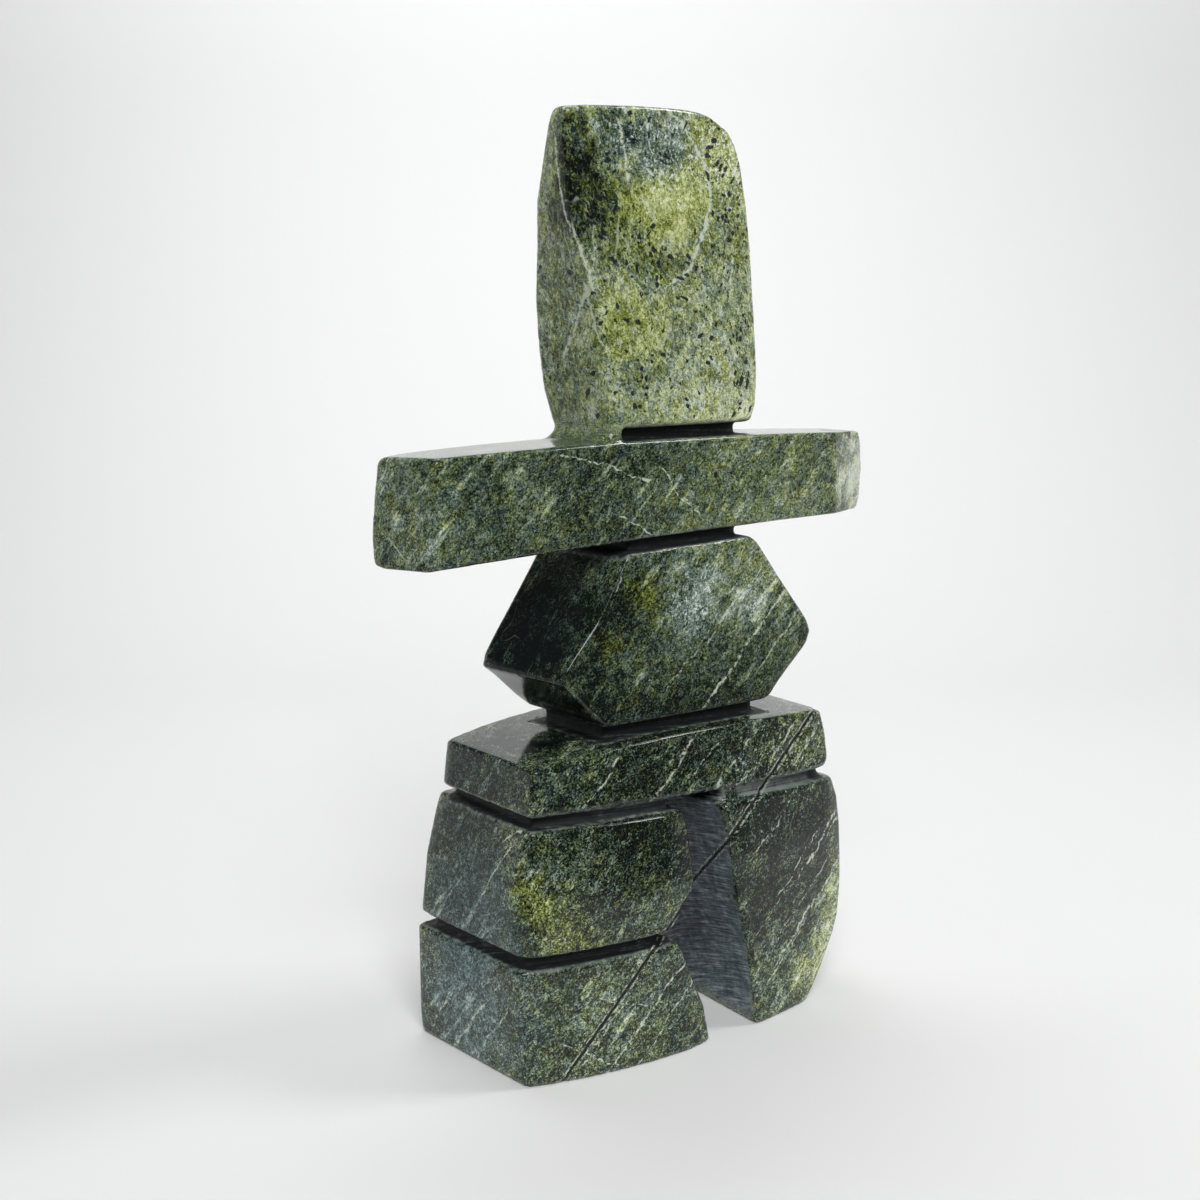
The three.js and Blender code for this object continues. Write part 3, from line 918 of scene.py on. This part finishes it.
@dataclass(frozen=True)
class SurfaceFinish:
    """Lays the hand polish and the marks of the saw on the skin, with geometry nodes.

    The floats are the tree's named inputs, each under its own name in capitals and spaces.
    """

    wave_height: float = 0.1 * MM
    wave_size: float = 17.0 * MM
    wave_detail: float = 1.5
    wave_sink: float = 0.8
    chip_depth: float = 0.35 * MM
    chip_size: float = 1.7 * MM
    chip_detail: float = 2.0
    slot_height: float = 5.2 * MM
    slot_start: float = 0.8 * MM
    notch_start: float = 0.4 * MM
    notch_reach: float = 34.0 * MM
    notch_top: float = 86.0 * MM
    notch_facing: float = 0.55
    uncut_neck: float = 190.0 * MM
    uncut_facing: float = -0.5
    step_bottom: float = 165.6 * MM
    step_top: float = 171.8 * MM
    step_front: float = 12.6 * MM
    seed: float = 7.0
    mark_blur: int = 1
    lip_blur: int = 5
    lip_levels: Levels = (0.1, 0.24)
    chip_levels: Levels = (0.5, 0.68)
    pale_levels: Levels = (0.42, 0.62, 0.05, 0.9)

    def apply(self, piece: bpy.types.Object, material: bpy.types.Material) -> bpy.types.Mesh:
        """Runs the tree on a piece.

        Args:
            piece: the skin, at rest in the figure's frame.
            material: what it is dressed in.

        Returns:
            The finished mesh.
        """
        tree = bpy.data.node_groups.new("hand_polish", "GeometryNodeTree")
        for way in ("OUTPUT", "INPUT"):
            tree.interface.new_socket("Geometry", in_out=way, socket_type="NodeSocketGeometry")
        values = {name: value for name, value in vars(self).items() if isinstance(value, float)}
        sockets = {name: tree.interface.new_socket(name.replace("_", " ").title(), in_out="INPUT",
                                                   socket_type="NodeSocketFloat")
                   for name in values}
        SkinSheet(tree, self).write(material)
        modifier = piece.modifiers.new("hand_polish", "NODES")
        modifier.node_group = tree
        for name, value in values.items():
            modifier[sockets[name].identifier] = value
        mesh = worked_mesh(piece)
        piece.modifiers.remove(modifier)
        return mesh


class SkinSheet(NodeSheet):
    """Writes the tree that finishes the skin."""

    def __init__(self, tree: bpy.types.NodeTree, finish: SurfaceFinish) -> None:
        """Takes up the skin, where its points lie and which way they face.

        Args:
            tree: the tree, with its inputs named.
            finish: the levels of the marks.
        """
        super().__init__(tree)
        self.finish = finish
        self.given = tree.nodes.new("NodeGroupInput").outputs
        self.skin = self.given["Geometry"]
        self.place = self.add("GeometryNodeInputPosition")
        self.normal = self.add("GeometryNodeInputNormal")
        self.height = self.part(self.place, "Z")

    def write(self, material: bpy.types.Material) -> None:
        """Writes the nodes: the marks first, then the polish and the chips.

        Args:
            material: what the last node sets.
        """
        finish = self.finish
        # The slot mask also carries the painted shade that the material lays in the cuts.
        sawn = self.in_slot()
        ground = self.product(self.in_notch(), self.maths("SUBTRACT", 1.0, sawn))
        raw = self.maths("ADD", sawn, ground)
        sawn, ground, near = (
            self.add("GeometryNodeBlurAttribute", {"Value": mark, "Iterations": steps},
                     data_type="FLOAT")
            for mark, steps in ((sawn, finish.mark_blur), (ground, finish.mark_blur),
                                (raw, finish.lip_blur)))

        seed = self.add("ShaderNodeCombineXYZ", {"X": self.given["Seed"]})
        seeded = self.vector("ADD", self.place, seed)
        grit = self.noise(seeded, self.given["Chip Size"], self.given["Chip Detail"])
        edge = self.band(self.product(near, self.maths("SUBTRACT", 1.0, near)), *finish.lip_levels)
        chips = self.product(edge, self.band(grit, *finish.chip_levels))
        lip = self.product(edge, self.band(grit, *finish.pale_levels))
        wave = self.noise(seeded, self.given["Wave Size"], self.given["Wave Detail"])
        wave = self.maths("SUBTRACT", wave, self.given["Wave Sink"])
        move = self.maths("SUBTRACT", self.product(wave, self.given["Wave Height"]),
                          self.product(chips, self.given["Chip Depth"]))
        skin = self.add("GeometryNodeSetPosition", {
            "Geometry": self.skin, "Offset": self.scaled(self.normal, move)})
        for mark, value in ((Mark.SAWN, sawn), (Mark.GROUND, ground), (Mark.LIP, lip)):
            skin = self.add("GeometryNodeStoreNamedAttribute", {
                "Geometry": skin, "Name": mark.value, "Value": value},
                data_type="FLOAT", domain="POINT")
        skin = self.add("GeometryNodeSetShadeSmooth", {"Geometry": skin})
        skin = self.add("GeometryNodeRealizeInstances", {"Geometry": skin})
        skin = self.add("GeometryNodeSetMaterial", {"Geometry": skin, "Material": material})
        self.tree.links.new(skin, self.tree.nodes.new("NodeGroupOutput").inputs[0])

    def meets(self, lift: Value, way: object, reach: Value) -> Socket:
        """Whether a line that starts just off the skin meets stone.

        Args:
            lift: how far off it starts.
            way: where it goes.
            reach: how long it is.

        Returns:
            1 or 0.
        """
        start = self.vector("ADD", self.place, self.scaled(self.normal, lift))
        return self.add("GeometryNodeRaycast", {
            "Target Geometry": self.skin, "Source Position": start, "Ray Direction": way,
            "Ray Length": reach}, "Is Hit")

    def in_slot(self) -> Socket:
        """Whether stone lies close over and close under, or it is the step behind the arms.

        Returns:
            1 or 0.
        """
        given = self.given
        between = self.product(*(self.meets(given["Slot Start"], way, given["Slot Height"])
                                 for way in ((0, 0, 1), (0, 0, -1))))
        leftward = self.maths("LESS_THAN", self.part(self.normal, "X"), given["Uncut Facing"])
        neck = self.maths("GREATER_THAN", self.height, given["Uncut Neck"])
        uncut = self.product(leftward, neck)
        between = self.product(between, self.maths("SUBTRACT", 1.0, uncut))
        step = self.product(
            self.maths("GREATER_THAN", self.height, given["Step Bottom"]),
            self.maths("LESS_THAN", self.height, given["Step Top"]),
            self.maths("GREATER_THAN", self.part(self.place, "Y"), given["Step Front"]))
        return self.largest(between, step)

    def in_notch(self) -> Socket:
        """Whether it is a side of a leg that faces the other.

        Returns:
            1 or 0.
        """
        given = self.given
        facing = self.meets(given["Notch Start"], self.normal, given["Notch Reach"])
        below = self.maths("LESS_THAN", self.height, given["Notch Top"])
        sideways = self.maths("ABSOLUTE", self.part(self.normal, "X"))
        sideways = self.maths("GREATER_THAN", sideways, given["Notch Facing"])
        return self.product(facing, below, sideways)


@dataclass
class Carving:
    """The figure itself: one stone, whose fine skin stands for the frame's node."""

    node: str = "carved_inukshuk"
    body: str = "root"
    piece_name: str = "polished_inukshuk"
    seed: int = 118
    voxel: float = 0.7 * MM
    quick_voxel: float = 1.4 * MM
    most_triangles: int = 180_000
    first_rub: int = 4
    long_rub: int = 60
    rub_strength: float = 0.5
    wear: int = 50
    worn_corners: tuple[Place, ...] = ((-0.092, 0.01, 0.198), (-0.092, 0.01, 0.166))
    worn_reach: float = 12.0 * MM
    worn_full: float = 1.5
    loose_curve: float = 12.0 * MM
    tight_curve: float = 4.0 * MM
    sole: float = 0.35 * MM
    tiny: float = 1e-6
    fracture: Fracture = field(default_factory=Fracture)
    finish: SurfaceFinish = field(default_factory=SurfaceFinish)
    stone: Serpentine = field(default_factory=Serpentine)

    def make(self, frame: dict) -> bpy.types.Object:
        """Builds the dressed figure.

        Args:
            frame: what the frame holds.

        Returns:
            The finished piece.
        """
        noise.seed_set(self.seed)
        rough = self.merged(frame["nodes"][self.node])
        remesh = rough.modifiers.new("even", "REMESH")
        remesh.mode = "VOXEL"
        remesh.voxel_size = self.voxel
        self.bake(rough)
        self.rub(rough.data)
        rough.data = self.finish.apply(rough, self.stone.build())
        self.thin(rough)
        mesh = rough.data
        self.fracture.open(mesh)
        self.stone.spread(mesh)
        bpy.data.objects.remove(rough)
        piece = placed(self.piece_name, mesh)
        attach(piece, self.body)
        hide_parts(self.node)
        mesh.calc_loop_triangles()
        log.info("%s: %d vertices, %d triangles", piece.name, len(mesh.vertices),
                 len(mesh.loop_triangles))
        return piece

    def merged(self, node: bpy.types.Object) -> bpy.types.Object:
        """A copy of the node whose loose triangles are joined up.

        Args:
            node: the frame's own solid.

        Returns:
            The copy.
        """
        shape = bmesh.new()
        shape.from_mesh(node.data)
        bmesh.ops.remove_doubles(shape, verts=shape.verts, dist=self.tiny)
        mesh = bpy.data.meshes.new("skin")
        shape.to_mesh(mesh)
        shape.free()
        return placed("skin", mesh)

    def bake(self, piece: bpy.types.Object) -> None:
        """Applies the piece's modifiers to its mesh.

        Args:
            piece: the skin.
        """
        mesh = worked_mesh(piece)
        piece.modifiers.clear()
        piece.data = mesh

    def rub(self, mesh: bpy.types.Mesh) -> None:
        """Rubs the facets smooth and leaves the edges: what bends tightly moves least.

        Args:
            mesh: the skin.
        """
        place = rows(mesh.vertices, "co").astype(float)
        count = len(place)
        a, b = rows(mesh.edges, "vertices", 2, np.int64).T
        near = np.maximum(np.bincount(a, minlength=count) + np.bincount(b, minlength=count), 1)
        foot = place[:, 2] < self.sole

        def mean_of(values: np.ndarray) -> np.ndarray:
            """The mean over each vertex's neighbours."""
            return (np.bincount(a, values[b], count) + np.bincount(b, values[a], count)) / near

        def smooth(times: int, weight: np.ndarray | float) -> None:
            """Moves every vertex toward its neighbours."""
            for _ in range(times):
                for k in range(3):
                    place[:, k] += weight * (mean_of(place[:, k]) - place[:, k])

        def put_back() -> None:
            """Writes the places to the mesh."""
            mesh.vertices.foreach_set("co", place.astype(np.float32).ravel())
            mesh.update()

        smooth(self.first_rub, self.rub_strength)
        put_back()
        normal = rows(mesh.vertex_normals, "vector")
        length = np.maximum(np.linalg.norm(place[a] - place[b], axis=1), self.tiny)
        bend = np.linalg.norm(normal[a] - normal[b], axis=1) / length
        curve = np.zeros(count)
        np.maximum.at(curve, a, bend)
        np.maximum.at(curve, b, bend)
        curve = mean_of(mean_of(curve))
        loose, tight = 1.0 / self.loose_curve, 1.0 / self.tight_curve
        share = np.clip((tight - curve) / (tight - loose), 0.0, 1.0)
        smooth(self.long_rub, self.rub_strength * share ** 2 * (3 - 2 * share))
        away = np.min([np.linalg.norm(place - c, axis=1) for c in self.worn_corners], axis=0)
        worn = np.clip(self.worn_full - self.worn_full * away / self.worn_reach, 0.0, 1.0)
        smooth(self.wear, self.rub_strength * worn)
        place[:, 2] = np.where(foot, 0.0, np.maximum(place[:, 2], 0.0))
        put_back()

    def thin(self, piece: bpy.types.Object) -> None:
        """Brings the mesh under its count of triangles.

        Args:
            piece: the skin.
        """
        piece.data.calc_loop_triangles()
        count = len(piece.data.loop_triangles)
        if count > self.most_triangles:
            piece.modifiers.new("thin", "DECIMATE").ratio = self.most_triangles / count
            self.bake(piece)


@dataclass(frozen=True)
class Lamp:
    """One large soft light, placed and aimed to the camera's right, away from it, and up."""

    name: str
    place: Place
    target: Place
    size: float
    watts: float


@dataclass
class Studio:
    """The pale sweep, the soft lights and the camera, all turned square to the camera."""

    azimuth: float = math.radians(-34.3165)
    pitch: float = math.radians(10.142)
    roll: float = math.radians(-0.4538)
    camera_place: Place = (-0.302688, -0.425259, 0.238946)
    lens_px: float = 1600.0
    image_px: float = 1200.0
    sensor: float = 36.0
    nearest: float = 0.01
    floor_colour: Colour = (0.893, 0.895, 0.896)
    floor_roughness: float = 0.7
    sweep_front: float = -0.2
    sweep_back: float = 0.95
    sweep_radius: float = 0.45
    sweep_height: float = 0.72
    sweep_spread: float = 0.45
    sweep_steps: int = 24
    behind: Levels = (0.1, 0.5)
    behind_height: Levels = (0.5, 0.25, 0.0, 0.88)
    beside: Levels = (0.6, 0.9)
    beside_start: Levels = (-0.4, 0.05)
    beside_height: Levels = (0.3, 0.1, 0.0, 0.55)
    dim_level: float = 0.1
    lamps: tuple[Lamp, ...] = (
        Lamp("key", (0.15, -1.35, 1.3), (0.0, 0.0, 0.1), 0.9, 24.0),
        Lamp("window", (0.75, 0.1, 1.1), (0.0, 0.0, 0.15), 0.28, 4.0),
        Lamp("wash", (-0.15, 0.3, 0.95), (-0.1, 0.95, 0.15), 0.5, 3.7),
    )

    @property
    def turn(self) -> Matrix:
        """The turn from the camera's own right, away and up to the figure's frame."""
        return Matrix.Rotation(self.azimuth, 3, "Z")

    def make(self) -> None:
        """Builds the sweep, the lights, the surroundings and the camera."""
        self.sweep()
        self.surroundings()
        for lamp in self.lamps:
            self.hang(lamp)
        self.camera()

    def sweep(self) -> None:
        """A floor that curves up into a wall and widens away from the camera."""
        profile = [(self.sweep_front, 0.0), (self.sweep_back - self.sweep_radius, 0.0)]
        for i in range(1, self.sweep_steps + 1):
            bend = math.pi / 2 * i / self.sweep_steps
            profile.append((self.sweep_back - self.sweep_radius * (1 - math.sin(bend)),
                            self.sweep_radius * (1 - math.cos(bend))))
        profile.append((self.sweep_back, self.sweep_height))
        eye = (self.turn.inverted() @ Vector(self.camera_place)).y
        corners = [self.turn @ Vector((side * self.sweep_spread * (y - eye), y, z))
                   for y, z in profile for side in (-1, 1)]
        faces = [(2 * i, 2 * i + 1, 2 * i + 3, 2 * i + 2) for i in range(len(profile) - 1)]
        mesh = bpy.data.meshes.new("sweep")
        mesh.from_pydata(corners, [], faces)
        mesh.shade_smooth()
        material = bpy.data.materials.new("pale_sweep")
        material.use_nodes = True
        shader = material.node_tree.nodes["Principled BSDF"]
        shader.inputs["Base Color"].default_value = (*self.floor_colour, 1.0)
        shader.inputs["Roughness"].default_value = self.floor_roughness
        mesh.materials.append(material)
        placed("sweep", mesh)

    def surroundings(self) -> None:
        """A room that is pale low down behind the figure and beside it, and dim elsewhere."""
        world = bpy.data.worlds.new("pale_room")
        world.use_nodes = True
        bpy.context.scene.world = world
        tree = world.node_tree
        tree.nodes.clear()
        sheet = NodeSheet(tree)
        way = sheet.add("ShaderNodeTexCoord", output="Generated")
        along = sheet.dot(way, tuple(self.turn @ Vector((0, 1, 0))))
        side = sheet.maths("ABSOLUTE", sheet.dot(way, tuple(self.turn @ Vector((1, 0, 0)))))
        up = sheet.part(way, "Z")
        back = sheet.product(sheet.band(along, *self.behind), sheet.band(up, *self.behind_height))
        flank = sheet.product(sheet.band(side, *self.beside), sheet.band(along, *self.beside_start),
                              sheet.band(up, *self.beside_height))
        level = sheet.largest(back, flank, self.dim_level)
        light = sheet.add("ShaderNodeBackground", {"Color": (1, 1, 1, 1), "Strength": level})
        tree.links.new(light, tree.nodes.new("ShaderNodeOutputWorld").inputs["Surface"])

    def hang(self, lamp: Lamp) -> None:
        """Hangs one lamp.

        Args:
            lamp: which one.
        """
        place, target = (self.turn @ Vector(p) for p in (lamp.place, lamp.target))
        light = bpy.data.lights.new(lamp.name, "AREA")
        light.size = lamp.size
        light.energy = lamp.watts
        holder = placed(lamp.name, light)
        holder.location = place
        holder.rotation_euler = (target - place).to_track_quat("-Z", "Y").to_euler()

    def camera(self) -> None:
        """The camera at the photograph's viewing angle."""
        view = bpy.data.cameras.new("camera")
        view.sensor_width = self.sensor
        view.lens = self.lens_px / self.image_px * self.sensor
        view.clip_start = self.nearest
        holder = placed("camera", view)
        tilt = Matrix.Rotation(math.pi / 2 - self.pitch, 3, "X")
        turn = self.turn @ tilt @ Matrix.Rotation(self.roll, 3, "Z")
        holder.matrix_world = Matrix.Translation(self.camera_place) @ turn.to_4x4()
        bpy.context.scene.camera = holder


def main() -> None:
    """Loads the frame, builds the figure and its studio."""
    logging.basicConfig(level=logging.INFO, format="%(name)s: %(message)s")
    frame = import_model()
    bpy.context.scene.view_settings.view_transform = "Standard"
    Studio().make()
    Carving().make(frame)


if __name__ == "__main__":
    main()
